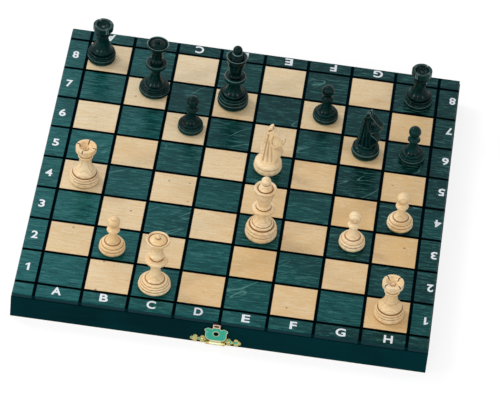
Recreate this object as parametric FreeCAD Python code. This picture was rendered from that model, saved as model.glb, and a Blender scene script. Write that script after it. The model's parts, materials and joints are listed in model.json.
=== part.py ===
import FreeCAD, Part
import math
import os

# A folding wooden chess set, opened flat with its men standing on the board.
# The case is two shallow trays with the board on their backs. They turn about two
# small butt hinges in the middle and close rim to rim, held by a hasp on a catch.
# Millimetres. X runs along the files A to H, Y from rank 1 to rank 8, Z up.
# The origin is under the middle of the fold, on the table that the hinges touch.

Vector = FreeCAD.Vector
alongX = Vector(1, 0, 0)
alongZ = Vector(0, 0, 1)

# Board and trays
square = 33.5
squaresPerHalf = 4
sideBorder = 16.0
endBorder = 13.0
panelThickness = 4.0
panelInset = 0.5
panelChamfer = 0.6
grooveWidth = 1.4
grooveDepth = 0.5
railHeight = 18.8
railThickness = 8.0
liningThickness = 0.8
liningClearance = 0.4
foldGap = 0.6
closedGap = 0.3

# Fold hinges
hingeEndGap = 40.0
hingeLength = 30.0
hingeLeafHeight = 13.0
hingeLeafThickness = 0.7
hingeBarrelRadius = 1.0
hingePinRadius = 0.5
knuckleGap = 0.2
knuckleRelief = 0.3
runningClearance = 0.05
hingeNailSpread = 9.0
hingeNailHeight = 8.0

# Nails
nailShankRadius = 0.5
nailLength = 5.0
sunkHeadRadius = 1.2
domeHeadRadius = 0.9
domeHeadHeight = 0.5

# Hasp on the near wall, heights from the rim and from the hasp's own axis
latchOffset = -1.5
latchAxisHeight = 2.6
latchBarrelRadius = 1.5
latchBarrelGap = 0.3
latchPinRadius = 0.6
latchSheet = 0.8
latchPlateHalf = 7.0
latchPlateTop = 8.6
latchLeafReach = 9.4
latchEndReach = 14.8
latchLeafHeight = 4.0
lobeRadius = 1.6
lobeSpread = 2.0
stemWidth = 1.8
haspNeckHalf = 4.2
haspNeckHeight = 2.6
haspBowlHalf = 7.6
haspBowlHeight = 6.4
haspBowlBulge = 1.0
haspLobeHeight = 10.4
haspLobeBulge = 0.8
haspTopHeight = 13.2
haspCrestHalf = 3.4
haspCrestBulge = 2.0
haspHoleHeight = 9.0
haspHoleRadius = 1.95
haspLoopHalf = 2.6
haspLoopHeight = 2.4
haspLoopWire = 0.8
haspLean = 2.5

# Catch on the far wall
catchNailReach = 11.0
catchBossRadius = 4.2
knobHeadRadius = 1.6
knobNeckRadius = 1.1
knobNeckLength = 0.5

# Turned men, radii from the lathe axis and heights stacked up from the felt
feltThickness = 0.8
feltInset = 0.8
beadBulge = 0.45
turnedGroove = 1.0
turnedGrooveRise = 0.7
turnedStep = 0.35
fullCurve = 0.9
deepCurve = 1.35

pawnBase = 9.7
pawnPlinth = 3.6
pawnShoulder = 6.7
pawnShoulderRise = 3.6
pawnFootRings = 2
pawnStem = 5.6
pawnNeck = 3.0
pawnStemRise = 10.0
pawnCollar = 4.8
pawnCollarRise = 1.5
pawnHeadRise = 3.2
pawnHead = 4.6

rookBase = 10.8
rookPlinth = 4.1
rookShoulder = 9.2
rookShoulderRise = 3.3
rookFootRings = 2
rookRing = 8.7
rookRingRise = 2.4
rookStem = 7.7
rookNeck = 4.75
rookStemRise = 12.7
rookCollar = 5.6
rookCollarRise = 1.5
rookFlareRise = 4.1
rookTower = 7.7
rookTowerRise = 4.0
rookWall = 2.4
rookBowlDepth = 3.0
rookKnob = 1.7
rookKnobRise = 1.2
rookSlit = 0.9
rookSlitDepth = 2.2

queenBase = 11.8
queenPlinth = 3.2
queenShoulder = 8.0
queenShoulderRise = 3.7
queenFootRings = 3
queenStem = 7.0
queenNeck = 3.8
queenStemRise = 12.0
queenCollar = 8.4
queenCollarFlare = 5.4
queenCollarRise = 2.6
queenRing = 5.4
queenRingRise = 1.6
queenWaist = 4.3
queenWaistRise = 3.2
queenCoronet = 8.5
queenCoronetFlare = 9.4
queenCoronetRise = 2.4
queenDish = 6.4
queenDishDepth = 1.3
queenDomeRise = 2.0
queenBall = 1.6

kingBase = 11.7
kingPlinth = 4.6
kingShoulder = 9.8
kingShoulderRise = 4.7
kingFootRings = 2
kingRing = 8.5
kingRingRise = 1.8
kingStem = 7.2
kingNeck = 4.5
kingStemRise = 9.3
kingCollar = 8.5
kingCollarFlare = 2.7
kingCollarRise = 2.9
kingUpperRing = 5.4
kingUpperRingRise = 1.5
kingWaist = 4.6
kingWaistRise = 1.6
kingCrown = 8.3
kingCrownFlare = 13.1
kingCrownRise = 2.0
kingDish = 5.4
kingDishDepth = 0.9
kingCone = 3.7
kingConeRise = 4.7
kingFinialNeck = 3.0
kingFinial = 3.6

# Knights: a turned foot, and a carved horse's head whose side view runs through these
# points, reach forward and height above the foot
knightBase = 10.6
knightPlinth = 4.9
knightShoulder = 7.0
knightShoulderRise = 3.4
knightFootRings = 1
horseChestFoot = Vector(5.6, 0, 0)
horseChest = Vector(10.2, 0, 8.4)
horseThroat = Vector(4.4, 0, 14.2)
horseJaw = Vector(5.6, 0, 15.8)
horseChin = Vector(9.8, 0, 17.8)
horseNose = Vector(10.8, 0, 23.4)
horseBrow = Vector(5.4, 0, 27.6)
horseEarFront = Vector(3.0, 0, 29.2)
horseEarTip = Vector(0.8, 0, 33.2)
horsePoll = Vector(-2.6, 0, 28.8)
horseCrest = Vector(-5.2, 0, 17.4)
horseNape = Vector(-5.9, 0, 5.6)
horseBackFoot = Vector(-5.8, 0, 0)
horseBow = 0.9
footHalfWidth = 5.2
neckHalfWidth = 4.7
jawHalfWidth = 4.2
browHalfWidth = 3.5
earHalfWidth = 2.5
earNotchWidth = 1.8
earNotchDepth = 4.4
mouthDepth = 3.4
mouthGap = 0.7

# Where the men stand, in squares from the near left corner of the grid, and their turn
menPlaces = {
    "light_king": (4.55, 2.46, 0),
    "light_queen": (2.49, 0.41, 0),
    "light_rook_1": (7.54, 0.51, 45),
    "light_rook_2": (0.53, 3.40, 75),
    "light_knight": (4.46, 4.59, -8),
    "light_pawn_1": (1.44, 1.36, 0),
    "light_pawn_2": (6.54, 2.53, 0),
    "light_pawn_3": (7.52, 3.33, 0),
    "dark_king": (3.44, 6.58, 0),
    "dark_queen": (1.65, 6.64, 0),
    "dark_rook_1": (0.32, 7.48, 30),
    "dark_rook_2": (7.57, 7.41, 60),
    "dark_knight": (6.55, 5.51, -20),
    "dark_pawn_1": (2.61, 5.53, 0),
    "dark_pawn_2": (5.55, 6.50, 0),
    "dark_pawn_3": (7.59, 5.53, 0),
}

# Levels and faces that the pieces share
near = -1
far = 1
halfWidth = squaresPerHalf * square + sideBorder
halfDepth = squaresPerHalf * square + endBorder
foldAxisHeight = hingeBarrelRadius
rimHeight = foldAxisHeight + closedGap / 2
panelUnder = rimHeight + railHeight
boardTop = panelUnder + panelThickness
foldFace = foldGap / 2
hingeOffset = halfWidth - hingeEndGap - hingeLength / 2
hingePlaces = (-hingeOffset, hingeOffset)
latchAxis = Vector(latchOffset, -halfDepth - latchBarrelRadius - latchBarrelGap, rimHeight + latchAxisHeight)
knobHeight = haspHoleHeight - latchAxisHeight - closedGap
knightHeadHeight = feltThickness + knightPlinth + knightShoulderRise


def block(x0, x1, y0, y1, z0, z1):
    corner = Vector(min(x0, x1), min(y0, y1), min(z0, z1))
    return Part.makeBox(abs(x1 - x0), abs(y1 - y0), abs(z1 - z0), corner)


def prism(points, sweep):
    return Part.Face(Part.makePolygon(points + points[:1])).extrude(sweep)


def rodX(radius, x0, x1, y, z):
    return Part.makeCylinder(radius, x1 - x0, Vector(x0, y, z), alongX)


# An arc in the XZ plane, bowed outwards on an outline that runs anticlockwise
def bowed(start, end, bulge):
    chord = end - start
    outward = Vector(chord.z, 0, -chord.x).normalize()
    return Part.Arc(start, (start + end) * 0.5 + outward * bulge, end).toShape()


# A lathe profile drawn from the foot up as radius and rise, then spun about Z
class Turning:

    def __init__(self, radius, height):
        self.foot = Vector(0, 0, height)
        self.here = self.foot
        self.edges = []
        self.line(radius)

    def line(self, radius, rise=0.0):
        there = Vector(radius, 0, self.here.z + rise)
        self.edges.append(Part.makeLine(self.here, there))
        self.here = there

    # Round where the bulge is positive, hollow where it is negative
    def curve(self, radius, rise, bulge):
        there = Vector(radius, 0, self.here.z + rise)
        self.edges.append(bowed(self.here, there, bulge))
        self.here = there

    def bead(self, radius, rise):
        if abs(self.here.x - radius + beadBulge) > turnedStep / 100:
            self.line(radius - beadBulge)
        self.curve(radius - beadBulge, rise, beadBulge)

    # A ball of the given radius, standing on the present ring
    def ball(self, radius):
        self.roundEnd(radius, -math.acos(self.here.x / radius))

    # A shallow cap over the present ring
    def cap(self, rise):
        radius = (self.here.x ** 2 + rise ** 2) / (2 * rise)
        self.roundEnd(radius, math.acos(self.here.x / radius))

    def roundEnd(self, radius, start):
        centre = self.here.z - radius * math.sin(start)
        middle = (start + math.pi / 2) / 2
        across = Vector(radius * math.cos(middle), 0, centre + radius * math.sin(middle))
        top = Vector(0, 0, centre + radius)
        self.edges.append(Part.Arc(self.here, across, top).toShape())
        self.here = top

    def spin(self):
        if self.here.x > 0:
            self.line(0)
        self.edges.append(Part.makeLine(self.here, self.foot))
        return Part.Face(Part.Wire(self.edges)).revolve(self.foot, alongZ, 360)


# The two halves of the case are drawn alike, on the near or the far side of the fold
def panel(side):
    across = halfWidth - panelInset
    outer = halfDepth - panelInset
    slab = block(-across, across, side * foldFace, side * outer, panelUnder, boardTop)
    topEdges = [edge for edge in slab.Edges if edge.BoundBox.ZMin > panelUnder + grooveDepth]
    slab = slab.makeChamfer(panelChamfer, topEdges)
    lines = []
    for number in range(-squaresPerHalf, squaresPerHalf + 1):
        lines.append(groove(Vector(number * square, -halfDepth, 0), Vector(0, 2 * halfDepth, 0)))
    for number in range(1, squaresPerHalf + 1):
        lines.append(groove(Vector(-halfWidth, side * number * square, 0), Vector(2 * halfWidth, 0, 0)))
    return slab.cut(lines)


# A burnt line is a V, as deep as grooveDepth and as wide as grooveWidth at the board's face
def groove(start, sweep):
    across = Vector(-sweep.y, sweep.x, 0).normalize() * grooveWidth
    rise = Vector(0, 0, grooveDepth)
    middle = start + Vector(0, 0, boardTop)
    return prism([middle - across + rise, middle + across + rise, middle - rise], sweep)


# The four rails of a tray, mitred at the corners
def trayRails(side):
    outer = corners(halfWidth, foldFace, halfDepth, side)
    inner = corners(halfWidth - railThickness, foldFace + railThickness, halfDepth - railThickness, side)
    rails = []
    for number in range(4):
        after = (number + 1) % 4
        outline = [outer[number], outer[after], inner[after], inner[number]]
        rails.append(prism(outline, Vector(0, 0, railHeight)))
    foldRail, rightRail, outerRail, leftRail = rails
    for place in hingePlaces:
        ends = (place - hingeLength / 2, place + hingeLength / 2)
        leafBack = side * (foldFace + hingeLeafThickness)
        foldRail = foldRail.cut(block(*ends, 0, leafBack, 0, rimHeight + hingeLeafHeight))
        start = ends[0] - knuckleGap
        end = ends[1] + knuckleGap
        foldRail = foldRail.cut(rodX(hingeBarrelRadius + knuckleRelief, start, end, 0, foldAxisHeight))
    foldRail = foldRail.cut(hingeNails(side))
    outerRail = outerRail.cut(latchNails() if side == near else catchNails() + [knob()])
    return {"fold": foldRail, "right": rightRail, "outer": outerRail, "left": leftRail}


def corners(across, foldEdge, outerEdge, side):
    places = [(-across, foldEdge), (across, foldEdge), (across, outerEdge), (-across, outerEdge)]
    return [Vector(x, side * y, rimHeight) for x, y in places]


def lining(side):
    across = halfWidth - railThickness - liningClearance
    inner = foldFace + railThickness + liningClearance
    outer = halfDepth - railThickness - liningClearance
    return block(-across, across, side * inner, side * outer, panelUnder - liningThickness, panelUnder)


# Butt hinges let into the fold rails: the near leaf has two knuckles and the far leaf one between
def hingeLeaf(side, place):
    half = hingeLength / 2
    third = hingeLength / 6
    wide = third + knuckleGap / 2
    narrow = third - knuckleGap / 2
    outerSpans = [(place - half, place - wide), (place + wide, place + half)]
    middleSpans = [(place - narrow, place + narrow)]
    own, others = (outerSpans, middleSpans) if side == near else (middleSpans, outerSpans)
    outside = side * (foldFace + hingeLeafThickness)
    leafTop = rimHeight + hingeLeafHeight
    leaf = block(place - half, place + half, side * foldFace, outside, foldAxisHeight, leafTop)
    for start, end in others:
        reliefRadius = hingeBarrelRadius + knuckleRelief
        leaf = leaf.cut(rodX(reliefRadius, start - knuckleGap, end + knuckleGap, 0, foldAxisHeight))
    for start, end in own:
        leaf = leaf.fuse(rodX(hingeBarrelRadius, start, end, 0, foldAxisHeight))
    boreRadius = hingePinRadius if side == near else hingePinRadius + runningClearance
    leaf = leaf.cut(rodX(boreRadius, place - half, place + half, 0, foldAxisHeight))
    return leaf.cut(hingeNails(side)).removeSplitter()


def hingePins():
    half = hingeLength / 2
    return [rodX(hingePinRadius, place - half, place + half, 0, foldAxisHeight) for place in hingePlaces]


# Nails are drawn head up with the face they are driven into at Z = 0
def sunkNail():
    profile = Turning(nailShankRadius, -nailLength)
    profile.line(nailShankRadius, nailLength - hingeLeafThickness)
    profile.line(sunkHeadRadius, hingeLeafThickness)
    return profile.spin()


def domeNail():
    profile = Turning(nailShankRadius, -nailLength)
    profile.line(nailShankRadius, nailLength)
    profile.line(domeHeadRadius)
    profile.cap(domeHeadHeight)
    return profile.spin()


def driven(nail, point, outward):
    nail.Placement = FreeCAD.Placement(point, FreeCAD.Rotation(alongZ, outward))
    return nail


def hingeNails(side):
    nails = []
    for place in hingePlaces:
        for step in (-hingeNailSpread, hingeNailSpread):
            point = Vector(place + step, side * foldFace, rimHeight + hingeNailHeight)
            nails.append(driven(sunkNail(), point, Vector(0, -side, 0)))
    return nails


def plateNails(side, reach, height):
    nails = []
    for step in (-reach, reach):
        point = Vector(latchOffset + step, side * (halfDepth + latchSheet), rimHeight + height)
        nails.append(driven(domeNail(), point, Vector(0, side, 0)))
    return nails


def latchNails():
    return plateNails(near, latchLeafReach, latchLeafHeight)


def catchNails():
    return plateNails(far, catchNailReach, knobHeight)


# Ornamental plates are stamped from sheet: discs and strips against an outer wall
def sheetDisc(side, reach, height, radius):
    point = Vector(latchOffset + reach, side * halfDepth, rimHeight + height)
    return Part.makeCylinder(radius, latchSheet, point, Vector(0, side, 0))


def sheetStrip(side, reach0, reach1, height0, height1):
    x0 = latchOffset + reach0
    x1 = latchOffset + reach1
    wall = side * halfDepth
    return block(x0, x1, wall, wall + side * latchSheet, rimHeight + height0, rimHeight + height1)


# A leaf of three lobes round a boss, at each end of a plate
def leafPair(side, reach, height):
    discs = []
    for way in (-1, 1):
        discs.append(sheetDisc(side, way * reach, height, lobeSpread))
        discs.append(sheetDisc(side, way * reach, height + lobeSpread, lobeRadius))
        discs.append(sheetDisc(side, way * reach, height - lobeSpread, lobeRadius))
        discs.append(sheetDisc(side, way * (reach + lobeSpread), height, lobeRadius))
    return discs


def latchPlate():
    stemLow = latchLeafHeight - stemWidth / 2
    plate = sheetStrip(near, -latchPlateHalf, latchPlateHalf, latchAxisHeight, latchPlateTop)
    plate = plate.fuse(sheetStrip(near, -latchEndReach, latchEndReach, stemLow, stemLow + stemWidth))
    plate = plate.fuse(leafPair(near, latchLeafReach, latchLeafHeight))
    plate = plate.fuse(leafPair(near, latchEndReach, latchLeafHeight))
    clear = haspNeckHalf + knuckleGap
    notchTop = latchAxisHeight + latchBarrelRadius + 2 * latchBarrelGap
    plate = plate.cut(sheetStrip(near, -clear, clear, 0, notchTop))
    left = latchOffset - latchPlateHalf
    right = latchOffset + latchPlateHalf
    for start, end in ((left, latchOffset - clear), (latchOffset + clear, right)):
        plate = plate.fuse(rodX(latchBarrelRadius, start, end, latchAxis.y, latchAxis.z))
    plate = plate.cut([latchPin()] + latchNails())
    return plate.removeSplitter()


def latchPin():
    left = latchOffset - latchPlateHalf
    right = latchOffset + latchPlateHalf
    return rodX(latchPinRadius, left, right, latchAxis.y, latchAxis.z)


# The hasp is drawn upright about its own axis, then leant back to rest near the wall
def hasp():
    bowl = Vector(haspBowlHalf, 0, haspBowlHeight)
    neck = Vector(haspNeckHalf, 0, haspNeckHeight)
    root = Vector(haspNeckHalf, 0, 0)
    lobe = Vector(haspBowlHalf, 0, haspLobeHeight)
    horn = Vector(haspBowlHalf, 0, haspTopHeight)
    crest = Vector(haspCrestHalf, 0, haspTopHeight)
    outline = [
        Part.makeLine(mirrored(root), root),
        Part.makeLine(root, neck),
        bowed(neck, bowl, haspBowlBulge),
        Part.makeLine(bowl, lobe),
        bowed(lobe, horn, haspLobeBulge),
        bowed(horn, crest, haspLobeBulge),
        bowed(crest, mirrored(crest), haspCrestBulge),
        bowed(mirrored(crest), mirrored(horn), haspLobeBulge),
        bowed(mirrored(horn), mirrored(lobe), haspLobeBulge),
        Part.makeLine(mirrored(lobe), mirrored(bowl)),
        bowed(mirrored(bowl), mirrored(neck), haspBowlBulge),
        Part.makeLine(mirrored(neck), mirrored(root)),
    ]
    half = latchSheet / 2
    flap = Part.Face(Part.Wire(outline)).extrude(Vector(0, latchSheet, 0))
    flap.translate(Vector(0, -half, 0))
    loopFoot = haspTopHeight + haspCrestBulge
    loopTop = loopFoot + haspLoopHeight
    inside = haspLoopHalf - haspLoopWire
    flap = flap.fuse(block(-haspLoopHalf, haspLoopHalf, -half, half, haspTopHeight, loopTop))
    flap = flap.cut(block(-inside, inside, -half, half, loopFoot, loopTop - haspLoopWire))
    flap = flap.fuse(rodX(latchBarrelRadius, -haspNeckHalf, haspNeckHalf, 0, 0))
    hole = Part.makeCylinder(haspHoleRadius, latchSheet, Vector(0, -half, haspHoleHeight), Vector(0, 1, 0))
    bore = rodX(latchPinRadius + runningClearance, -haspNeckHalf, haspNeckHalf, 0, 0)
    flap = flap.cut([hole, bore]).removeSplitter()
    flap.rotate(Vector(), alongX, -haspLean)
    flap.translate(latchAxis)
    return flap


def mirrored(point):
    return Vector(-point.x, point.y, point.z)


def catchPlate():
    plate = sheetDisc(far, 0, knobHeight, catchBossRadius)
    stemLow = knobHeight - stemWidth / 2
    plate = plate.fuse(sheetStrip(far, -catchNailReach, catchNailReach, stemLow, stemLow + stemWidth))
    plate = plate.fuse(leafPair(far, catchNailReach, knobHeight))
    return plate.cut(catchNails() + [knob()]).removeSplitter()


# A round-headed stud driven through the catch plate
def knob():
    depth = latchSheet + nailLength
    profile = Turning(knobNeckRadius, -depth)
    profile.line(knobNeckRadius, depth + knobNeckLength)
    profile.ball(knobHeadRadius)
    point = Vector(latchOffset, halfDepth + latchSheet, rimHeight + knobHeight)
    return driven(profile.spin(), point, Vector(0, 1, 0))


# A plinth, a groove, then rings that step in to the shoulder
def turnedFoot(base, plinth, shoulder, shoulderRise, rings):
    profile = Turning(base - beadBulge, feltThickness)
    profile.curve(base - beadBulge, plinth - turnedGrooveRise, beadBulge)
    profile.line(base - beadBulge - turnedGroove)
    profile.line(base - beadBulge - turnedGroove, turnedGrooveRise)
    taper = (base - beadBulge - shoulder) / rings
    for ring in range(rings):
        outer = base - beadBulge - taper * ring
        profile.line(outer)
        profile.curve(outer - taper + turnedStep, shoulderRise / rings, fullCurve / rings)
    return profile


def pawn():
    profile = turnedFoot(pawnBase, pawnPlinth, pawnShoulder, pawnShoulderRise, pawnFootRings)
    profile.line(pawnStem, turnedStep)
    profile.curve(pawnNeck, pawnStemRise, -fullCurve)
    profile.line(pawnCollar - beadBulge, beadBulge)
    profile.bead(pawnCollar, pawnCollarRise)
    profile.curve(pawnNeck, pawnHeadRise, -beadBulge)
    profile.ball(pawnHead)
    return profile.spin()


def rook():
    profile = turnedFoot(rookBase, rookPlinth, rookShoulder, rookShoulderRise, rookFootRings)
    profile.bead(rookRing, rookRingRise)
    profile.line(rookStem, turnedStep)
    profile.curve(rookNeck, rookStemRise, -deepCurve)
    profile.bead(rookCollar, rookCollarRise)
    profile.line(rookNeck, turnedStep)
    profile.curve(rookTower - beadBulge, rookFlareRise, -fullCurve)
    profile.line(rookTower)
    profile.line(rookTower, rookTowerRise - beadBulge)
    profile.line(rookTower - beadBulge, beadBulge)
    rim = profile.here.z
    profile.line(rookTower - rookWall)
    profile.curve(rookKnob, -rookBowlDepth, -fullCurve)
    profile.cap(rookKnobRise)
    slit = block(-rookBase, rookBase, -rookSlit / 2, rookSlit / 2, rim - rookSlitDepth, rim + rookSlitDepth)
    crossed = slit.copy()
    crossed.rotate(Vector(), alongZ, 90)
    return profile.spin().cut(slit.fuse(crossed))


def queen():
    profile = turnedFoot(queenBase, queenPlinth, queenShoulder, queenShoulderRise, queenFootRings)
    profile.line(queenStem, turnedStep)
    profile.curve(queenNeck, queenStemRise, -deepCurve)
    profile.curve(queenCollar - beadBulge, queenCollarFlare, -fullCurve)
    profile.bead(queenCollar, queenCollarRise)
    profile.line(queenWaist, beadBulge)
    profile.curve(queenRing - beadBulge, queenRingRise, -beadBulge)
    profile.bead(queenRing, queenRingRise)
    profile.curve(queenWaist, queenWaistRise, -beadBulge)
    profile.curve(queenCoronet - beadBulge, queenCoronetFlare, -deepCurve)
    profile.bead(queenCoronet, queenCoronetRise)
    profile.line(queenDish, -queenDishDepth)
    profile.curve(queenBall, queenDomeRise, fullCurve)
    profile.line(queenBall - beadBulge, turnedStep)
    profile.ball(queenBall)
    return profile.spin()


def king():
    profile = turnedFoot(kingBase, kingPlinth, kingShoulder, kingShoulderRise, kingFootRings)
    profile.bead(kingRing, kingRingRise)
    profile.line(kingStem, turnedStep)
    profile.curve(kingNeck, kingStemRise, -fullCurve)
    profile.line(kingCollar - beadBulge, kingCollarFlare)
    profile.bead(kingCollar, kingCollarRise)
    profile.line(kingUpperRing - beadBulge, beadBulge)
    profile.bead(kingUpperRing, kingUpperRingRise)
    profile.line(kingWaist, turnedStep)
    profile.curve(kingWaist, kingWaistRise, -beadBulge / 2)
    profile.line(kingCrown - beadBulge, kingCrownFlare)
    profile.bead(kingCrown, kingCrownRise)
    profile.line(kingDish, -kingDishDepth)
    profile.curve(kingCone, kingConeRise, -beadBulge / 2)
    profile.line(kingFinialNeck, turnedStep)
    profile.ball(kingFinial)
    return profile.spin()


def knightFoot():
    profile = turnedFoot(knightBase, knightPlinth, knightShoulder, knightShoulderRise, knightFootRings)
    return profile.spin()


# The head is sawn to its side view, rounded to a loft of ellipses, then notched
def knightHead():
    outline = [
        bowed(horseChestFoot, horseChest, -horseBow),
        bowed(horseChest, horseThroat, horseBow),
        bowed(horseThroat, horseJaw, -horseBow / 2),
        bowed(horseJaw, horseChin, -horseBow / 2),
        bowed(horseChin, horseNose, horseBow),
        bowed(horseNose, horseBrow, -horseBow / 2),
        Part.makeLine(horseBrow, horseEarFront),
        bowed(horseEarFront, horseEarTip, -horseBow / 2),
        bowed(horseEarTip, horsePoll, horseBow),
        bowed(horsePoll, horseCrest, horseBow),
        bowed(horseCrest, horseNape, horseBow),
        bowed(horseNape, horseBackFoot, -horseBow / 2),
        Part.makeLine(horseBackFoot, horseChestFoot),
    ]
    aside = Vector(0, knightBase, 0)
    sawn = Part.Face(Part.Wire(outline)).extrude(aside * 2)
    sawn.translate(aside * -1)
    rings = [
        carvingRing(horseBackFoot, horseChestFoot, footHalfWidth, horseBackFoot.z),
        carvingRing(horseNape, horseChest, neckHalfWidth, horseChest.z),
        carvingRing(horseCrest, horseNose, jawHalfWidth, horseChin.z),
        carvingRing(horseCrest, horseNose, browHalfWidth, horseNose.z),
        carvingRing(horsePoll, horseBrow, earHalfWidth, horseEarTip.z),
    ]
    head = sawn.common(Part.makeLoft(rings, True))
    notchTop = horseEarTip + Vector(-knightBase, 0, earNotchDepth)
    notchSide = Vector(0, earNotchWidth, 0)
    notchFoot = horseEarTip + Vector(-knightBase, 0, -earNotchDepth)
    notch = prism([notchTop - notchSide, notchTop + notchSide, notchFoot], Vector(2 * knightBase, 0, 0))
    lips = (horseChin * 2 + horseNose) * (1 / 3)
    lipsOut = lips + Vector(mouthDepth, 0, 0) - aside
    lipsIn = lips - Vector(mouthDepth, 0, 0) - aside
    opening = Vector(0, 0, mouthGap)
    mouth = prism([lipsOut + opening, lipsOut - opening, lipsIn], aside * 2)
    head = head.cut([notch, mouth])
    head.translate(Vector(0, 0, knightHeadHeight))
    return head


def carvingRing(back, front, halfThickness, height):
    centre = Vector((front.x + back.x) / 2, 0, height)
    reach = Vector((front.x - back.x) / 2 + horseBow * 2, 0, 0)
    ring = Part.Ellipse(centre + reach, centre + Vector(0, halfThickness, 0), centre)
    return Part.Wire(ring.toShape())


def felt(base):
    return Part.makeCylinder(base - feltInset, feltThickness)


def stood(shape, place):
    file, rank, turn = place
    shape.rotate(Vector(), alongZ, turn)
    shape.translate(Vector((file - squaresPerHalf) * square, (rank - squaresPerHalf) * square, boardTop))
    return shape


def save(name, shape):
    shape.exportStep("parts/" + name + ".step")


def saveHalf(name, side):
    save(name + "_panel", panel(side))
    save(name + "_lining", lining(side))
    for place, rail in trayRails(side).items():
        save(name + "_" + place + "_rail", rail)
    save("left_hinge_" + name + "_leaf", hingeLeaf(side, -hingeOffset))
    save("right_hinge_" + name + "_leaf", hingeLeaf(side, hingeOffset))


def saveLatch():
    save("hinge_pins", Part.makeCompound(hingePins()))
    save("latch_plate", latchPlate())
    save("latch_pin", latchPin())
    save("latch_hasp", hasp())
    save("catch_plate", catchPlate())
    save("catch_knob", knob())
    save("near_nails", Part.makeCompound(hingeNails(near) + latchNails()))
    save("far_nails", Part.makeCompound(hingeNails(far) + catchNails()))


def saveMen():
    turned = {"king": king, "queen": queen, "rook": rook, "pawn": pawn}
    bases = {"king": kingBase, "queen": queenBase, "rook": rookBase, "pawn": pawnBase, "knight": knightBase}
    for name, place in menPlaces.items():
        kind = name.split("_")[1]
        save(name + "_felt", stood(felt(bases[kind]), place))
        if kind == "knight":
            save(name + "_base", stood(knightFoot(), place))
            save(name + "_head", stood(knightHead(), place))
        else:
            save(name, stood(turned[kind](), place))


os.makedirs("parts", exist_ok=True)
saveHalf("near", near)
saveHalf("far", far)
saveLatch()
saveMen()
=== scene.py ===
import json
import math

import bmesh
import bpy
from mathutils import Matrix, Vector, noise

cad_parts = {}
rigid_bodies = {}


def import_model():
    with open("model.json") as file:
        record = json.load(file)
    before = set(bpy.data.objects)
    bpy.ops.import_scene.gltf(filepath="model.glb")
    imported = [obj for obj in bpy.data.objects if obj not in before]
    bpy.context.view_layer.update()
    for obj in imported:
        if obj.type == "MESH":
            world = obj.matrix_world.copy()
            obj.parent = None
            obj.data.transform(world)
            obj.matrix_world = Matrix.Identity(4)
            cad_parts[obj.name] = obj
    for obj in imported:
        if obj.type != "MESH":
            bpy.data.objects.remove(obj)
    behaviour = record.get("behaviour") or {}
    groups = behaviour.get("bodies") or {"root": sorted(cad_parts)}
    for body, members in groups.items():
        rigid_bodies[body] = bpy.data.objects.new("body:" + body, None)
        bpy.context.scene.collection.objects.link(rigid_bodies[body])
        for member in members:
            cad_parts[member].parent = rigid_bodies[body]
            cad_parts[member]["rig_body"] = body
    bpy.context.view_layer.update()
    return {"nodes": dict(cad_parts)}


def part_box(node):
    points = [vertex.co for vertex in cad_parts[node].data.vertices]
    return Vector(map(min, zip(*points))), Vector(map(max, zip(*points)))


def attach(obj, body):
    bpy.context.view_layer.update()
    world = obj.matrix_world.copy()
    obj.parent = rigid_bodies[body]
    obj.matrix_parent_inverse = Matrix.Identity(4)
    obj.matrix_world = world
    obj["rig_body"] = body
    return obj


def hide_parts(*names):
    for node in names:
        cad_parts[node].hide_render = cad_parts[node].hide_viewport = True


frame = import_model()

nodes = frame["nodes"]
mm = 0.001
print("loaded", len(nodes), "nodes")


# one wrapped socket: sums on values add Math nodes, node() adds any other
class Wire:

    def __init__(self, tree, socket=None):
        self.tree = tree
        self.socket = socket

    def node(self, kind, settings=None, inputs=None, out=0):
        made = self.tree.nodes.new("ShaderNode" + kind)
        for name, value in (settings or {}).items():
            setattr(made, name, value)
        for name, value in (inputs or {}).items():
            if isinstance(value, Wire):
                self.tree.links.new(value.socket, made.inputs[name])
            else:
                made.inputs[name].default_value = value
        return Wire(self.tree, made.outputs[out] if len(made.outputs) else None)

    def also(self, out):  # another output of the same node
        return Wire(self.tree, self.socket.node.outputs[out])

    def math(self, operation, *others):
        inputs = dict(enumerate((self,) + others))
        return self.node("Math", {"operation": operation}, inputs)

    def __add__(self, other):
        return self.math("ADD", other)

    def __radd__(self, other):
        return self.math("ADD", other)

    def __mul__(self, other):
        return self.math("MULTIPLY", other)

    def __rmul__(self, other):
        return self.math("MULTIPLY", other)

    def __truediv__(self, other):
        return self.math("DIVIDE", other)

    def __sub__(self, other):
        return self.math("SUBTRACT", other)

    def __rsub__(self, other):
        return (self * -1).math("ADD", other)

    def __lt__(self, other):
        return self.math("LESS_THAN", other)

    def __gt__(self, other):
        return self.math("GREATER_THAN", other)

    def __abs__(self):
        return self.math("ABSOLUTE")

    def smooth(self, low, high):  # 0 below low, 1 above high
        inputs = {"Value": self, "From Min": low, "From Max": high}
        return self.node("MapRange", {"interpolation_type": "SMOOTHSTEP"}, inputs, "Result")

    def stretched(self, scale, turn=(0, 0, 0)):
        return self.node("Mapping", {}, {"Vector": self, "Scale": scale, "Rotation": turn})

    def noise(self, scale, detail=2.0, roughness=0.5, distortion=0.0):
        inputs = {"Vector": self, "Scale": scale, "Detail": detail}
        inputs.update({"Roughness": roughness, "Distortion": distortion})
        return self.node("TexNoise", {}, inputs, "Fac")

    def bump(self, distance, strength):
        return self.node("Bump", {}, {"Height": self, "Distance": distance, "Strength": strength})


def mix(share, first, second):
    return share.node("Mix", {"data_type": "RGBA"}, {0: share, 6: first, 7: second}, 2)


def paint(red, green, blue):  # a colour as picked on a screen, 0 to 255
    def linear(level):
        level = level / 255
        return level / 12.92 if level <= 0.04045 else ((level + 0.055) / 1.055) ** 2.4
    return (linear(red), linear(green), linear(blue), 1.0)


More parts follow.
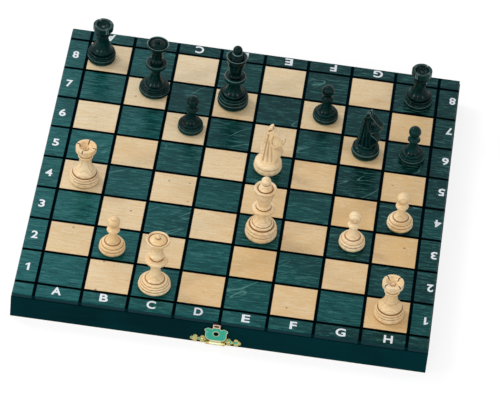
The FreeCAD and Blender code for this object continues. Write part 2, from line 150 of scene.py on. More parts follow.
def finish(name, build):
    material = bpy.data.materials.new(name)
    material.use_nodes = True
    tree = material.node_tree
    tree.nodes.clear()
    start = Wire(tree)
    place = start.node("TexCoord", out="Object")
    shader = start.node("BsdfPrincipled", {}, build(place))
    start.node("OutputMaterial", {}, {"Surface": shader})
    return material


def wear(material, name):
    slots = nodes[name].data.materials
    slots.clear()
    slots.append(material)


squareSide = 33.5 * mm
boardLook = {
    "square": squareSide,
    "gridHalf": 4 * squareSide,
    "top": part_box("near_panel")[1].z,
    "edgeBand": (1.0 * mm, 0.3 * mm),  # below the top
    "stainDeep": paint(0, 30, 25),
    "stainPale": paint(16, 84, 82),
    "streak": paint(58, 110, 106),
    "scratch": paint(112, 168, 160),
    "pore": paint(0, 28, 29),
    "cream": paint(235, 215, 180),
    "pith": paint(243, 227, 196),
    "fleck": paint(200, 156, 100),
    "honey": paint(224, 184, 127),
    "speck": paint(104, 70, 40),
    "scorch": paint(150, 104, 60),
    "burnt": paint(1, 2, 2),
    # the panel's sides below the top: painted shade of the gap beside the case wall
    "edge": paint(0, 28, 32),
    "glaze": (0.14, 0.8, 1.0, 1.0),  # tint of what the varnish mirrors
    "gloss": 0.25,
    "rough": {"plain": 0.2, "grain": 0.1, "burnt": 0.3},
    "relief": {"deep": 0.012 * mm, "strength": 0.5, "peel": 0.3, "peelScale": 900},
    "lines": {"half": 1.22 * mm, "blur": 0.12 * mm, "waver": 0.25 * mm, "waverScale": 420},
    "scorched": (0.8 * mm, 1.7 * mm),
    "cloud": (9, 22, 9),
    "grain": {"stretch": (95, 820, 820), "pores": (0.36, 0.5), "streaks": (0.5, 0.66)},
    "flecks": {"stretch": (520, 1350, 1), "onStain": (0.54, 0.66), "onWood": (0.54, 0.68)},
    "scratches": {"turn": (0, 0, -0.55), "stretch": (13, 48, 1), "thin": (0.002, 0.009)},
    "scratched": {"scale": 26, "band": (0.54, 0.62)},
    "specks": {"stretch": (80, 120, 80), "size": (0.05, 0.095), "rare": 0.64},
    # the stain runs paler towards the left and the front, and darker on the front and back borders
    "stainDrift": {
        "middle": 0.42, "across": 0.33, "back": 2.2, "cloud": 1.1, "tone": 0.3, "border": 0.22,
    },
    # the natural squares run more honey towards the right and the back
    "woodDrift": {"middle": 0.5, "across": 1.4, "back": 1.7, "cloud": 0.8, "tone": 0.3},
    "onStain": {"pore": 0.8, "streak": 0.85, "fleck": 0.75, "scratch": 0.4},
    "onWood": {
        "streak": 0.65, "pith": 0.4, "fleck": 0.55, "scratch": 0.08, "speck": 0.85, "scorch": 0.7,
    },
}


# which square a spot lies on, and how far it is from the burnt lines
def boardGrid(place):
    look = boardLook
    lines = look["lines"]
    x = place.node("SeparateXYZ", {}, {0: place}, "X")
    y = x.also("Y")
    file = x / look["square"]
    rank = y / look["square"]
    toFile = abs(file - file.math("ROUND")) * look["square"]
    toRank = abs(rank - rank.math("ROUND")) * look["square"]
    waver = (place.noise(lines["waverScale"], 2) - 0.5) * lines["waver"]
    column = file.math("FLOOR")
    row = rank.math("FLOOR")
    cell = place.node("CombineXYZ", {}, {0: column, 1: row})
    tone = place.node("TexWhiteNoise", {"noise_dimensions": "2D"}, {"Vector": cell}, "Value")
    inGrid = (abs(x) < look["gridHalf"]) * (abs(y) < look["gridHalf"])
    return {
        "x": x,
        "y": y,
        "z": x.also("Z"),
        "toLine": toFile.math("MINIMUM", toRank) + waver,
        "tone": tone - 0.5,
        "inGrid": inGrid,
        "natural": inGrid * (column + row).math("FLOORED_MODULO", 2.0),
    }


# the grain runs from left to right, the scratches slant across it
def boardMarks(place, grid):
    look = boardLook
    scratches = look["scratches"]
    slanting = place.stretched((1, 1, 1), scratches["turn"]).stretched(scratches["stretch"])
    thin = 1 - abs(slanting.noise(1.0, 2, 0.5, 0.3) - 0.5).smooth(*scratches["thin"])
    scratched = place.noise(look["scratched"]["scale"], 2).smooth(*look["scratched"]["band"])
    grain = place.stretched(look["grain"]["stretch"]).noise(1.0, 5, 0.7, 0.5)
    return {
        "grain": grain,
        "pores": 1 - grain.smooth(*look["grain"]["pores"]),
        "streaks": grain.smooth(*look["grain"]["streaks"]),
        "cloud": place.stretched(look["cloud"]).noise(1.0, 3, 0.55) - 0.5,
        "flecks": place.stretched(look["flecks"]["stretch"]).noise(1.0, 3, 0.7),
        "scratches": thin * scratched * grid["inGrid"],
    }


def stainedSquares(grid, marks):
    look = boardLook
    stainDrift = look["stainDrift"]
    share = look["onStain"]
    level = stainDrift["middle"] - grid["x"] / stainDrift["across"] - grid["y"] * stainDrift["back"]
    level = level + marks["cloud"] * stainDrift["cloud"] + grid["tone"] * stainDrift["tone"]
    level = level - (abs(grid["y"]) > look["gridHalf"]) * stainDrift["border"]
    flecks = marks["flecks"].smooth(*look["flecks"]["onStain"])
    colour = mix(level.smooth(0.0, 1.0), look["stainDeep"], look["stainPale"])
    colour = mix(marks["pores"] * share["pore"], colour, look["pore"])
    colour = mix(marks["streaks"] * share["streak"], colour, look["streak"])
    colour = mix(flecks * share["fleck"], colour, look["pore"])
    return mix(marks["scratches"] * share["scratch"], colour, look["scratch"])


def naturalSquares(place, grid, marks):
    look = boardLook
    woodDrift = look["woodDrift"]
    specks = look["specks"]
    share = look["onWood"]
    level = woodDrift["middle"] + grid["x"] * woodDrift["across"] - grid["y"] * woodDrift["back"]
    level = level + marks["cloud"] * woodDrift["cloud"] + grid["tone"] * woodDrift["tone"]
    inputs = {"Vector": place.stretched(specks["stretch"]), "Scale": 1.0}
    spot = place.node("TexVoronoi", {}, inputs, "Distance")
    chance = place.node("SeparateColor", {}, {0: spot.also("Color")}, 0)
    speck = (1 - spot.smooth(*specks["size"])) * (chance > specks["rare"])
    flecks = marks["flecks"].smooth(*look["flecks"]["onWood"])
    scorched = 1 - grid["toLine"].smooth(*look["scorched"])
    colour = mix(level.smooth(0.0, 1.0), look["cream"], look["honey"])
    colour = mix(marks["streaks"] * share["streak"], colour, look["honey"])
    colour = mix(marks["pores"] * share["pith"], colour, look["pith"])
    colour = mix(flecks * share["fleck"], colour, look["fleck"])
    colour = mix(marks["scratches"] * share["scratch"], colour, look["scorch"])
    colour = mix(speck * share["speck"], colour, look["speck"])
    return mix(scorched * share["scorch"], colour, look["scorch"])


def boardFinish(place):
    look = boardLook
    lines = look["lines"]
    rough = look["rough"]
    relief = look["relief"]
    grid = boardGrid(place)
    marks = boardMarks(place, grid)
    colour = mix(grid["natural"], stainedSquares(grid, marks), naturalSquares(place, grid, marks))
    burnt = 1 - grid["toLine"].smooth(lines["half"] - lines["blur"], lines["half"] + lines["blur"])
    colour = mix(burnt, colour, look["burnt"])
    # the panel's sides darkened: painted shade of the gap beside the case wall
    gapShadeFoot, gapShadeTop = (look["top"] - below for below in look["edgeBand"])
    colour = mix(1 - grid["z"].smooth(gapShadeFoot, gapShadeTop), colour, look["edge"])
    grain = marks["grain"]
    peel = place.noise(relief["peelScale"], 2)
    height = grain * (1 - relief["peel"]) + peel * relief["peel"]
    return {
        "Base Color": colour,
        "Roughness": rough["plain"] + grain * rough["grain"] + burnt * rough["burnt"],
        "Metallic": burnt,  # char mirrors nothing, and neither does a black metal
        "Normal": height.bump(relief["deep"], relief["strength"]),
        "Specular IOR Level": look["gloss"],
        "Specular Tint": look["glaze"],
    }


caseLook = {
    "deep": paint(0, 35, 39),
    "pale": paint(0, 46, 51),
    "streak": paint(16, 76, 80),
    "bare": paint(222, 192, 146),
    "bareGrain": paint(196, 158, 108),
    "grain": {"x": (40, 900, 700), "y": (900, 40, 700)},
    "cloud": {"scale": 16, "band": (0.3, 0.7)},
    "streaks": {"band": (0.55, 0.85), "share": 0.4},
    "bareBand": (0.4, 0.75),
    "across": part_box("far_right_rail")[0].x + 0.1 * mm,  # the trays, just past their rails' faces
    "outer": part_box("far_outer_rail")[0].y + 0.1 * mm,
    "fold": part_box("far_fold_rail")[1].y - 0.1 * mm,
    "rim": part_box("near_outer_rail")[0].z + 0.02 * mm,
    "rimBare": 0.85,
    "rough": {"plain": 0.36, "grain": 0.16},
    "relief": {"deep": 0.03 * mm, "strength": 0.5},
    "gloss": 0.015,
}


def caseFinish(along):
    def build(place):
        look = caseLook
        cloud = look["cloud"]
        streaks = look["streaks"]
        grain = place.stretched(look["grain"][along]).noise(1.0, 4, 0.6, 0.3)
        clouded = place.noise(cloud["scale"], 3).smooth(*cloud["band"])
        colour = mix(clouded, look["deep"], look["pale"])
        colour = mix(grain.smooth(*streaks["band"]) * streaks["share"], colour, look["streak"])
        x = place.node("SeparateXYZ", {}, {0: place}, "X")
        depth = abs(x.also("Y"))
        hollow = (abs(x) < look["across"]) * (depth < look["outer"]) * (depth > look["fold"])
        rim = (x.also("Z") < look["rim"]) * look["rimBare"]
        bare = mix(grain.smooth(*look["bareBand"]), look["bare"], look["bareGrain"])
        return {
            "Base Color": mix(hollow.math("MAXIMUM", rim), colour, bare),
            "Roughness": look["rough"]["plain"] + grain * look["rough"]["grain"],
            "Normal": grain.bump(look["relief"]["deep"], look["relief"]["strength"]),
            "Specular IOR Level": look["gloss"],
        }
    return build


menLook = {
    "light": {
        "deep": paint(240, 206, 154),
        "pale": paint(252, 230, 190),
        "grain": paint(206, 160, 106),
        # the colour for the grooves is painted shade
        "groove": paint(140, 92, 52),
        # the colour for convex edges: pale wear with a painted highlight
        "edge": paint(252, 238, 212),
        "turned": paint(176, 124, 76),
        "rubbedAndHighlit": 0.5,
        "gloss": 0.3,
        "rough": 0.24,
        "rings": 0.34,
    },
    "dark": {
        "deep": paint(0, 19, 19),
        "pale": paint(0, 43, 42),
        "grain": paint(2, 76, 72),
        # the colour for the grooves is painted shade
        "groove": paint(0, 3, 4),
        # the colour for convex edges: a painted highlight, partly wear
        "edge": paint(150, 192, 188),
        "turned": paint(0, 8, 9),
        "rubbedAndHighlit": 0.55,
        "gloss": 0.09,
        "rough": 0.16,
        "rings": 0.16,
    },
}
menMarks = {
    "grain": {"stretch": (520, 520, 36), "band": (0.52, 0.8), "share": 0.4, "rough": 0.1},
    "cloud": {"scale": 38, "band": (0.3, 0.7)},
    "rings": {"Scale": 150.0, "Distortion": 3.0, "Detail": 2.0, "Detail Scale": 0.6},
    "ringBand": (0.55, 1.0),
    "lathe": {"stretch": (6, 6, 1150), "band": (0.6, 0.66), "share": 0.5},
    "lathePatch": {"scale": 90, "band": (0.35, 0.6)},
    "edgeBand": (0.0, 0.8),
    "grooveBand": (0.0, 0.5),
    "relief": {"deep": 0.03 * mm, "strength": 0.4},
}


def menFinish(side):
    def build(place):
        look = menLook[side]
        grain = menMarks["grain"]
        cloud = menMarks["cloud"]
        lathe = menMarks["lathe"]
        patch = menMarks["lathePatch"]
        fibre = place.stretched(grain["stretch"]).noise(1.0, 4, 0.6, 0.5)
        settings = {"wave_type": "BANDS", "bands_direction": "Y"}
        ring = place.node("TexWave", settings, {"Vector": place, **menMarks["rings"]}, "Fac")
        turned = place.stretched(lathe["stretch"]).noise(1.0, 2, 0.6).smooth(*lathe["band"])
        turned = turned * place.noise(patch["scale"], 2).smooth(*patch["band"])
        bend = place.node("Attribute", {"attribute_name": "bend"}, out="Fac")
        edge = bend.smooth(*menMarks["edgeBand"])
        # grooves and concave corners take painted shade
        groove = (bend * -1).smooth(*menMarks["grooveBand"])
        clouded = place.noise(cloud["scale"], 2).smooth(*cloud["band"])
        colour = mix(clouded, look["pale"], look["deep"])
        colour = mix(fibre.smooth(*grain["band"]) * grain["share"], colour, look["grain"])
        colour = mix(ring.smooth(*menMarks["ringBand"]) * look["rings"], colour, look["grain"])
        colour = mix(turned * lathe["share"], colour, look["turned"])
        # convex edges lightened: wear and a painted highlight
        colour = mix(edge * look["rubbedAndHighlit"], colour, look["edge"])
        return {
            "Base Color": mix(groove, colour, look["groove"]),
            "Roughness": look["rough"] + fibre * grain["rough"],
            "Normal": fibre.bump(menMarks["relief"]["deep"], menMarks["relief"]["strength"]),
            "Specular IOR Level": look["gloss"],
        }
    return build


# the walls of a rook's slits, painted dark brown as the shade inside them
slitShadeLook = {"burnt": paint(52, 32, 18), "scorch": paint(96, 62, 34), "scale": 900, "rough": 0.8}


def slitShadeFinish(place):
    scorched = place.noise(slitShadeLook["scale"], 2)
    return {
        "Base Color": mix(scorched, slitShadeLook["burnt"], slitShadeLook["scorch"]),
        "Roughness": slitShadeLook["rough"],
    }


brassLook = {
    "bright": paint(206, 186, 116),
    "dull": paint(140, 130, 72),
    "tarnish": {"scale": 260, "band": (0.42, 0.66), "rough": 0.25},
    "rough": 0.24,
    "pits": {"scale": 1400, "deep": 0.02 * mm, "strength": 0.4},
}


def brassFinish(place):
    look = brassLook
    pits = look["pits"]
    tarnish = place.noise(look["tarnish"]["scale"], 4, 0.6)
    return {
        "Base Color": mix(tarnish.smooth(*look["tarnish"]["band"]), look["bright"], look["dull"]),
        "Metallic": 1.0,
        "Roughness": look["rough"] + tarnish * look["tarnish"]["rough"],
        "Normal": place.noise(pits["scale"], 2).bump(pits["deep"], pits["strength"]),
    }


haspLook = {
    "flap": paint(206, 204, 164),
    "loop": paint(226, 184, 160),
    "flapFoot": 6.2 * mm,
    "flapTop": 18.4 * mm,
    "rough": 0.22,
    "tarnish": {"scale": 500, "rough": 0.2},
}


# bare metal of the hasp, pinker at its finger loop
def haspFinish(place):
    look = haspLook
    height = place.node("SeparateXYZ", {}, {0: place}, "Z")
    tarnish = place.noise(look["tarnish"]["scale"], 3)
    return {
        "Base Color": mix(height > look["flapTop"], look["flap"], look["loop"]),
        "Metallic": 1.0,
        "Roughness": look["rough"] + tarnish * look["tarnish"]["rough"],
    }


lacquerLook = {
    "green": paint(44, 164, 140),
    "wornFrom": {"hasp": 0.64, "plate": 0.46},
    "worn": {"scale": 700, "blur": 0.08, "rough": 0.1},
    "metallic": 0.5,
    "rough": 0.3,
    "pits": {"scale": 1200, "deep": 0.02 * mm, "strength": 0.4},
}


def lacquerFinish(part):
    def build(place):
        look = lacquerLook
        pits = look["pits"]
        wornFrom = look["wornFrom"][part]
        worn = place.noise(look["worn"]["scale"], 3)
        through = worn.smooth(wornFrom, wornFrom + look["worn"]["blur"])
        return {
            "Base Color": mix(through, look["green"], brassLook["bright"]),
            "Metallic": look["metallic"],
            "Roughness": look["rough"] + worn * look["worn"]["rough"],
            "Normal": place.noise(pits["scale"], 2).bump(pits["deep"], pits["strength"]),
        }
    return build


feltLook = {
    "pile": paint(28, 84, 60),
    "shade": paint(14, 52, 38),
    "fuzz": {"scale": 2600, "band": (0.3, 0.7), "share": 0.6, "deep": 0.2 * mm, "strength": 0.8},
    "cloud": {"scale": 60, "share": 0.4},
    "rough": 0.95,
    "gloss": 0.1,
    "sheen": 0.4,
    "disc": {"segments": 56, "rounding": 0.22 * mm},
    "lining": {"across": 72, "deep": 36, "thick": 0.84, "uneven": 0.14, "lumps": 60},
}


def feltFinish(place):
    look = feltLook
    fuzz = place.noise(look["fuzz"]["scale"], 4, 0.7)
    cloud = place.noise(look["cloud"]["scale"], 3)
    share = fuzz.smooth(*look["fuzz"]["band"]) * look["fuzz"]["share"] + cloud * look["cloud"]["share"]
    return {
        "Base Color": mix(share, look["shade"], look["pile"]),
        "Roughness": look["rough"],
        "Specular IOR Level": look["gloss"],
        "Sheen Weight": look["sheen"],
        "Normal": fuzz.bump(look["fuzz"]["deep"], look["fuzz"]["strength"]),
    }


boardLacquer = finish("boardLacquer", boardFinish)
caseAcross = finish("caseAcross", caseFinish("x"))
caseAlong = finish("caseAlong", caseFinish("y"))
birch = finish("birch", menFinish("light"))
greenStain = finish("greenStain", menFinish("dark"))
sawn = finish("sawn", slitShadeFinish)
brass = finish("brass", brassFinish)
haspMetal = finish("haspMetal", haspFinish)
haspLacquer = finish("haspLacquer", lacquerFinish("hasp"))
plateLacquer = finish("plateLacquer", lacquerFinish("plate"))
felt = finish("felt", feltFinish)
print("finishes mixed")


softLook = {
    "weld": 0.001 * mm,
    "sharp": math.radians(32),
    "width": 0.12 * mm,
    "segments": 2,
    "reach": 0.8 * mm,  # how wide the marks of a sharp edge spread: wear with a painted highlight on convex edges, painted shade in grooves
    "upright": 0.2,
    "radial": 0.5,
}


def toMesh(name, shape):
    mesh = bpy.data.meshes.new(name)
    shape.to_mesh(mesh)
    shape.free()
    return mesh


def toScene(name, content):
    thing = bpy.data.objects.new(name, content)
    bpy.context.scene.collection.objects.link(thing)
    return thing


def newPiece(name, shape, *materials):
    mesh = toMesh(name, shape)
    for material in materials:
        mesh.materials.append(material)
    return toScene(name, mesh)


def inPlaceOf(name, piece):
    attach(piece, nodes[name]["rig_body"])
    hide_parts(name)


# the mesh that an object's modifiers or font give, without the object
def settled(source):
    bpy.context.view_layer.update()
    shown = source.evaluated_get(bpy.context.evaluated_depsgraph_get())
    mesh = bpy.data.meshes.new_from_object(shown)
    bpy.data.objects.remove(source)
    return mesh


def middleOf(name, height):  # the point at this height on a node's upright axis
    low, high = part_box(name)
    return Vector(((low.x + high.x) / 2, (low.y + high.y) / 2, height))


def extruded(shape, faces):  # the new vertices
    made = bmesh.ops.extrude_face_region(shape, geom=faces)["geom"]
    return [item for item in made if isinstance(item, bmesh.types.BMVert)]


def welded(name):
    shape = bmesh.new()
    shape.from_mesh(nodes[name].data)
    bmesh.ops.remove_doubles(shape, verts=shape.verts, dist=softLook["weld"])
    bmesh.ops.dissolve_degenerate(shape, edges=shape.edges, dist=softLook["weld"])
    bmesh.ops.recalc_face_normals(shape, faces=shape.faces)
    for face in shape.faces:
        face.material_index = 0
    return shape


# a copy of a turned node, its corners rounded, its grooves marked for painted shade and its convex
# edges for a pale rim that is partly wear and partly painted highlight
def softened(name, material):
    look = softLook
    shape = welded(name)
    bend = shape.verts.layers.float.new("bend")
    for edge in shape.edges:
        turn = edge.calc_face_angle_signed(0.0)
        edge.smooth = abs(turn) < look["sharp"]
        if not edge.smooth:
            beside = max(2 * face.calc_area() for face in edge.link_faces) / edge.calc_length()
            turn *= min(1, look["reach"] / beside) ** (2 if turn > 0 else 1)
            for vert in edge.verts:
                vert[bend] = max(vert[bend], turn, key=abs)
    low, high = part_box(name)
    axis = (low + high) / 2
    for face in shape.faces:
        face.smooth = True
        out = (face.calc_center_median() - axis) * Vector((1, 1, 0))
        upright = abs(face.normal.z) < look["upright"]
        if upright and abs(face.normal.dot(out.normalized())) < look["radial"]:
            # the slit walls take painted shade
            face.material_index = 1  # the sawn slits of a rook
    piece = newPiece(name + "_wood", shape, material, sawn)
    inPlaceOf(name, piece)
    rounding = piece.modifiers.new("rounding", "BEVEL")
    rounding.width = look["width"]
    rounding.segments = look["segments"]
    rounding.limit_method = "ANGLE"
    rounding.angle_limit = look["sharp"]


# cuts on both sides of a horse's head, in mm: reach forward, height above its foot
carvingLook = {
    "grid": 0.24 * mm,
    "turn": {"light_knight_head": -8, "dark_knight_head": -20},
    "neck": [
        {"from": (-3.6, 0.8), "to": (-1.4, 25.6), "half": 1.3, "deep": 0.7},
        {"from": (0.2, 0.8), "to": (-0.6, 21.0), "half": 1.3, "deep": 0.6},
        {"from": (3.6, 1.2), "to": (2.2, 15.4), "half": 1.2, "deep": 0.55},
    ],
    "cheek": [
        {"from": (2.6, 25.4), "to": (1.7, 21.4), "half": 0.8, "deep": 0.7},
        {"from": (1.7, 21.4), "to": (3.0, 17.8), "half": 0.8, "deep": 0.7},
        {"from": (3.0, 17.8), "to": (5.2, 16.6), "half": 0.8, "deep": 0.6},
    ],
    "ear": [{"from": (-1.6, 28.6), "to": (1.4, 31.0), "half": 0.9, "deep": 1.1}],
    "nose": [
        {"from": (7.7, 25.6), "to": (6.8, 18.4), "half": 0.5, "deep": 0.35},
        {"from": (9.3, 22.2), "to": (9.7, 22.6), "half": 0.7, "deep": 0.7},
    ],
    "mane": {
        "from": (-6.6, 8.0), "to": (-4.0, 5.4), "half": 0.6, "deep": 0.5,
        "count": 6, "step": (0.3, 3.5),
    },
    "eye": {"at": (5.0, 25.2), "ring": 1.0, "half": 0.45, "deep": 0.6},
    "sides": 1.6,  # the cuts fade out where the head turns from its sides
    # painted shade in the cuts, and a painted highlight on the ridges
    "cutShade": 0.48,
    "ridge": 1.7,
    "flat": 0.04,
    "spreads": 3,
    "spread": 0.5,
}


def horseCuts():
    cuts = []
    for part in ("neck", "cheek", "ear", "nose"):
        for cut in carvingLook[part]:
            cuts.append((Vector(cut["from"]), Vector(cut["to"]), cut["half"], cut["deep"]))
    mane = carvingLook["mane"]
    for number in range(mane["count"]):
        shift = Vector(mane["step"]) * number
        start = Vector(mane["from"]) + shift
        end = Vector(mane["to"]) + shift
        cuts.append((start, end, mane["half"], mane["deep"]))
    return cuts


def cutDepth(point, cuts):
    eye = carvingLook["eye"]
    offRing = abs((point - Vector(eye["at"])).length - eye["ring"])
    depth = eye["deep"] * max(0, 1 - offRing / eye["half"])
    for start, end, half, deep in cuts:
        along = max(0, min(1, (point - start).dot(end - start) / (end - start).length_squared))
        away = (point - start.lerp(end, along)).length
        depth = max(depth, deep * max(0, 1 - away / half))
    return depth


# a copy of a sawn head on an even grid, its cuts pressed in and painted darker as shade in them, its
# ridges given a painted highlight
def carved(name, material):
    look = carvingLook
    block = toScene(name + "_block", toMesh(name + "_block", welded(name)))
    grid = block.modifiers.new("grid", "REMESH")
    grid.mode = "VOXEL"
    grid.voxel_size = look["grid"]
    shape = bmesh.new()
    shape.from_mesh(settled(block))
    shape.normal_update()
    bend = shape.verts.layers.float.new("bend")
    foot = middleOf(name.replace("_head", "_felt"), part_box(name)[0].z)
    straight = Matrix.Rotation(-math.radians(look["turn"][name]), 3, "Z")
    cuts = horseCuts()
    for vert in shape.verts:
        place = straight @ (vert.co - foot) / mm
        aside = abs((straight @ vert.normal).y)
        depth = cutDepth(Vector((place.x, place.z)), cuts) * min(1, aside * look["sides"])
        vert.co -= vert.normal * depth * mm
        # the cuts painted darker: painted shade in the cuts
        vert[bend] = -look["cutShade"] * depth
    shape.normal_update()
    for vert in shape.verts:
        turns = [edge.calc_face_angle_signed(0.0) for edge in vert.link_edges]
        # convex ridges painted lighter: a painted highlight
        vert[bend] += look["ridge"] * max(0, sum(turns) / len(turns) - look["flat"])
    for number in range(look["spreads"]):
        around = []
        for vert in shape.verts:
            total = sum(edge.other_vert(vert)[bend] for edge in vert.link_edges)
            around.append(total / len(vert.link_edges))
        for vert, mean in zip(shape.verts, around):
            vert[bend] = (1 - look["spread"]) * vert[bend] + look["spread"] * mean
    for face in shape.faces:
        face.smooth = True
    inPlaceOf(name, newPiece(name + "_carving", shape, material))


stampLook = {"rim": 0.42 * mm, "sunk": 0.1 * mm, "flat": 0.99}


# a copy of a stamped sheet piece: its face sunk inside a bare rim, and lacquered
def stamped(name, facing, bare, lacquer, band):
    look = stampLook
    shape = welded(name)
    for height in band:
        bmesh.ops.bisect_plane(
            shape, geom=shape.verts[:] + shape.edges[:] + shape.faces[:],
            dist=softLook["weld"], plane_co=(0, 0, height), plane_no=(0, 0, 1),
        )
    front = []
    for face in shape.faces:
        level = face.calc_center_median().z
        if face.normal.y * facing > look["flat"] and band[0] < level < band[1]:
            front.append(face)
    bmesh.ops.inset_region(
        shape, faces=front, thickness=look["rim"], depth=-look["sunk"], use_even_offset=True,
    )
    for face in front:
        face.material_index = 1
    inPlaceOf(name, newPiece(name + "_stamping", shape, bare, lacquer))


# a disc of felt under each man, its cut edge rounded over
def baseFelt(name):
    look = feltLook["disc"]
    low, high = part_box(name)
    radius = (high.x - low.x) / 2
    shape = bmesh.new()
    bmesh.ops.create_circle(shape, cap_ends=True, segments=look["segments"], radius=radius)
    raised = extruded(shape, shape.faces[:])
    bmesh.ops.translate(shape, verts=raised, vec=(0, 0, high.z - low.z))
    rims = [edge for edge in shape.edges if edge.verts[0].co.z == edge.verts[1].co.z]
    bmesh.ops.bevel(
        shape, geom=rims, offset=look["rounding"], segments=2, profile=0.5,
        affect="EDGES", material=-1,
    )
    bmesh.ops.translate(shape, verts=shape.verts, vec=middleOf(name, low.z))
    bmesh.ops.recalc_face_normals(shape, faces=shape.faces)
    piece = newPiece(name + "_disc", shape, felt)
    inPlaceOf(name, piece)


# felt glued over the back of each panel, a little uneven where the glue took
def liningFelt(name):
    look = feltLook["lining"]
    low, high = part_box(name)
    width, depth, thick = high - low
    shape = bmesh.new()
    bmesh.ops.create_grid(shape, x_segments=look["across"], y_segments=look["deep"], size=0.5)
    bmesh.ops.scale(shape, verts=shape.verts, vec=(width, depth, 1))
    for vert in extruded(shape, shape.faces[:]):
        uneven = look["uneven"] * noise.noise(vert.co * look["lumps"])
        vert.co.z -= thick * (look["thick"] + uneven)
    bmesh.ops.translate(shape, verts=shape.verts, vec=middleOf(name, high.z))
    bmesh.ops.recalc_face_normals(shape, faces=shape.faces)
    piece = newPiece(name + "_cloth", shape, felt)
    for face in piece.data.polygons:
        face.use_smooth = True
    inPlaceOf(name, piece)


for name in sorted(nodes):
    wood, menSlot = (birch, "light_men") if name.startswith("light") else (greenStain, "dark_men")
    if name.endswith("panel"):
        wear(boardLacquer, name)
    elif name.endswith(("fold_rail", "outer_rail")):
        wear(caseAcross, name)
    elif name.endswith("rail"):
        wear(caseAlong, name)
    elif name.endswith("lining"):
        liningFelt(name)
    elif name.endswith("felt"):
        baseFelt(name)
    elif name.endswith("knight_head"):
        carved(name, wood)
    elif name.startswith(("light", "dark")):
        softened(name, wood)
    elif name == "latch_hasp":
        band = (haspLook["flapFoot"], haspLook["flapTop"])
        stamped(name, -1, haspMetal, haspLacquer, band)
    elif name in ("latch_plate", "catch_plate"):
        low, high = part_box(name)
        facing = -1 if low.y < 0 else 1
        stamped(name, facing, brass, plateLacquer, (low.z, high.z))
    else:
        wear(brass, name)
print("finishes on")


# letters and numbers in white, printed on the border
letterLook = {
    "height": 7.6 * mm,
    "capital": 0.73,  # height of the font's capitals in its own size
    "widths": {  # of each sign, in mm
        "A": 7.0, "B": 6.2, "C": 6.5, "D": 6.3, "E": 5.9, "F": 5.0, "G": 7.2, "H": 6.5,
        "1": 3.1, "2": 4.8, "3": 4.5, "4": 5.1, "5": 4.8, "6": 5.0, "7": 4.8, "8": 4.7,
    },
    "bold": 0.28 * mm,
    "proud": 0.03 * mm,
    "white": paint(228, 235, 240),
    "thin": {"scale": 1800, "band": (0.6, 0.75), "share": 0.25},
    "rough": 0.4,
    "coat": {"weight": 0.4, "rough": 0.2},
    "one": [(0.04, 0), (0.24, 0), (0.24, 1), (0.1, 1), (-0.16, 0.8), (-0.16, 0.62), (0.04, 0.76)],
    "rows": {  # in squares from the middle; slant is a row's drift at each step
        "front": {
            "signs": "ABCDEFGH", "turn": 0,
            "line": -4.185, "pitch": 1.0185, "shift": 0.031, "slant": -0.0099,
        },
        "back": {
            "signs": "ABCDEFGH", "turn": 180,
            "line": 4.213, "pitch": 1.027, "shift": 0.027, "slant": 0.0,
        },
        "left": {
            "signs": "12345678", "turn": 0,
            "line": -4.263, "pitch": 0.9995, "shift": -0.022, "slant": 0.0,
        },
        "right": {
            "signs": "12345678", "turn": 180,
            "line": 4.349, "pitch": 1.0216, "shift": 0.053, "slant": 0.0,
        },
    },
}


def printFinish(place):
    look = letterLook
    thin = place.noise(look["thin"]["scale"], 3).smooth(*look["thin"]["band"])
    return {
        "Base Color": mix(thin * look["thin"]["share"], look["white"], boardLook["stainPale"]),
        "Roughness": look["rough"],
        "Coat Weight": look["coat"]["weight"],
        "Coat Roughness": look["coat"]["rough"],
    }


printWhite = finish("printWhite", printFinish)


# the font's 1 is a bare stroke, so this one has a flag
def flaggedOne(name):
    shape = bmesh.new()
    height = letterLook["height"]
    corners = [shape.verts.new((x * height, y * height, 0)) for x, y in letterLook["one"]]
    raised = extruded(shape, [shape.faces.new(corners)])
    bmesh.ops.translate(shape, verts=raised, vec=(0, 0, letterLook["proud"]))
    bmesh.ops.recalc_face_normals(shape, faces=shape.faces)
    return toMesh(name, shape)


def lettered(text, name):
    curve = bpy.data.curves.new(name, "FONT")
    curve.body = text
    curve.size = letterLook["height"] / letterLook["capital"]
    curve.align_x = "CENTER"
    curve.offset = letterLook["bold"]
    curve.extrude = letterLook["proud"]
    mesh = settled(toScene(name, curve))
    mesh.name = name
    return mesh


def sign(text, x, y, turn, name):
    mesh = flaggedOne(name) if text == "1" else lettered(text, name)
    low = min(vert.co.y for vert in mesh.vertices)
    high = max(vert.co.y for vert in mesh.vertices)
    left = min(vert.co.x for vert in mesh.vertices)
    right = max(vert.co.x for vert in mesh.vertices)
    mesh.transform(Matrix.Translation((-(left + right) / 2, -(low + high) / 2, 0)))
    mesh.transform(Matrix.Diagonal((letterLook["widths"][text] * mm / (right - left), 1, 1, 1)))
    mesh.transform(Matrix.Rotation(math.radians(turn), 4, "Z"))
    mesh.transform(Matrix.Translation((x, y, boardLook["top"])))
    mesh.materials.clear()
    mesh.materials.append(printWhite)
    return toScene(name, mesh)


for rowName, row in letterLook["rows"].items():
    middle = (len(row["signs"]) - 1) / 2
    for number, text in enumerate(row["signs"]):
        step = number - middle
        along = (step * row["pitch"] + row["shift"]) * boardLook["square"]
        across = (row["line"] + step * row["slant"]) * boardLook["square"]
        x, y = (along, across) if row["signs"][0] == "A" else (across, along)
        piece = sign(text, x, y, row["turn"], rowName + "Sign" + text)
        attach(piece, "near_half" if y < 0 else "far_half")
print("signs printed")


stageLook = {
    "floorHalf": 6.0,
    "white": paint(250, 250, 250),
    "film": 0.3,
    "lift": 0.1,
    "worldLevel": 0.47,
    "azimuth": 2.511,
    "elevation": 43.161,
    "roll": 6.109,
    "distance": 2.89569,
    "target": (0.006864, -0.019089, 0.02395),
    "sensor": 36,
    "lens": 283.81,
}


# 1 where the camera looks, straight or by way of gloss or glass
def seenDirectly(start):
    camera = start.node("LightPath", out="Is Camera Ray")
    mirrored = camera.also("Is Glossy Ray").math("MAXIMUM", camera.also("Is Transmission Ray"))
    return camera.math("MAXIMUM", mirrored)


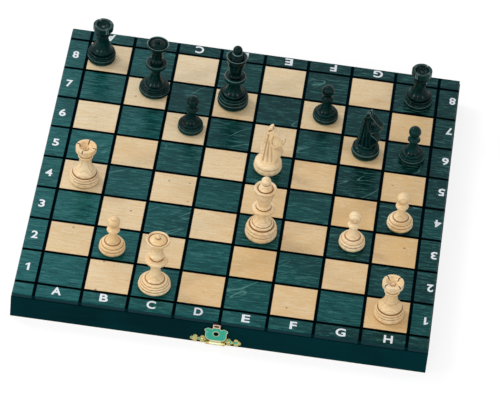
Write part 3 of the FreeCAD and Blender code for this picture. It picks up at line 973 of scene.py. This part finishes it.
# a sheet of frosted film: the folded half and the trays can be seen through it
def makeFloor():
    look = stageLook
    material = bpy.data.materials.new("floorPaper")
    material.use_nodes = True
    tree = material.node_tree
    tree.nodes.clear()
    start = Wire(tree)
    shown = seenDirectly(start) * (1 - start.node("NewGeometry", out="Backfacing"))
    clear = start.node("BsdfTransparent")
    paper = start.node("BsdfDiffuse", {}, {"Color": look["white"]})
    film = start.node("MixShader", {}, {0: look["film"], 1: clear, 2: paper})
    lift = start.node("Emission", {}, {"Color": look["white"], "Strength": look["lift"]})
    lit = start.node("AddShader", {}, {0: film, 1: lift})
    surface = start.node("MixShader", {}, {0: shown, 1: clear, 2: lit})
    start.node("OutputMaterial", {}, {"Surface": surface})
    sheet = bmesh.new()
    bmesh.ops.create_grid(sheet, x_segments=1, y_segments=1, size=look["floorHalf"])
    newPiece("floor", sheet, material)


def makeWorld():
    world = bpy.data.worlds.new("studio")
    bpy.context.scene.world = world
    world.use_nodes = True
    tree = world.node_tree
    tree.nodes.clear()
    start = Wire(tree)
    strength = stageLook["worldLevel"] + seenDirectly(start) * (1 - stageLook["worldLevel"])
    sky = start.node("Background", {}, {"Color": (1, 1, 1, 1), "Strength": strength})
    start.node("OutputWorld", {}, {"Surface": sky})


lampLook = {
    "key": {"at": (-1.1, 0.5, 1.5), "size": 0.5, "watts": 9.6},
    "leftGlint": {"at": (-1.15, -0.75, 0.5), "size": 0.24, "watts": 6},
    "rightGlint": {"at": (1.1, -0.8, 0.55), "size": 0.24, "watts": 3},
    "frontGlint": {"at": (-0.15, -1.4, 0.6), "size": 0.24, "watts": 2.5},
    "sheen": {"at": (-0.75, 1.5, 1.45), "size": 1.1, "watts": 4},
}


def makeLamps():
    for name, look in lampLook.items():
        lamp = bpy.data.lights.new(name, "AREA")
        lamp.shape = "DISK"
        lamp.size = look["size"]
        lamp.energy = look["watts"]
        light = toScene(name, lamp)
        light.location = look["at"]
        light.rotation_euler = (-Vector(look["at"])).to_track_quat("-Z", "Y").to_euler()


def makeCamera():
    look = stageLook
    azimuth = math.radians(look["azimuth"])
    elevation = math.radians(look["elevation"])
    back = Vector((
        math.sin(azimuth) * math.cos(elevation),
        -math.cos(azimuth) * math.cos(elevation),
        math.sin(elevation),
    ))
    stand = Matrix.Translation(Vector(look["target"]) + back * look["distance"])
    turn = back.to_track_quat("Z", "Y").to_matrix().to_4x4()
    roll = Matrix.Rotation(math.radians(look["roll"]), 4, "Z")
    lens = bpy.data.cameras.new("camera")
    lens.sensor_width = look["sensor"]
    lens.lens = look["lens"]
    camera = toScene("camera", lens)
    camera.matrix_world = stand @ turn @ roll
    bpy.context.scene.camera = camera


makeFloor()
makeWorld()
makeLamps()
makeCamera()
bpy.context.scene.view_settings.view_transform = "Standard"
print("stage set")
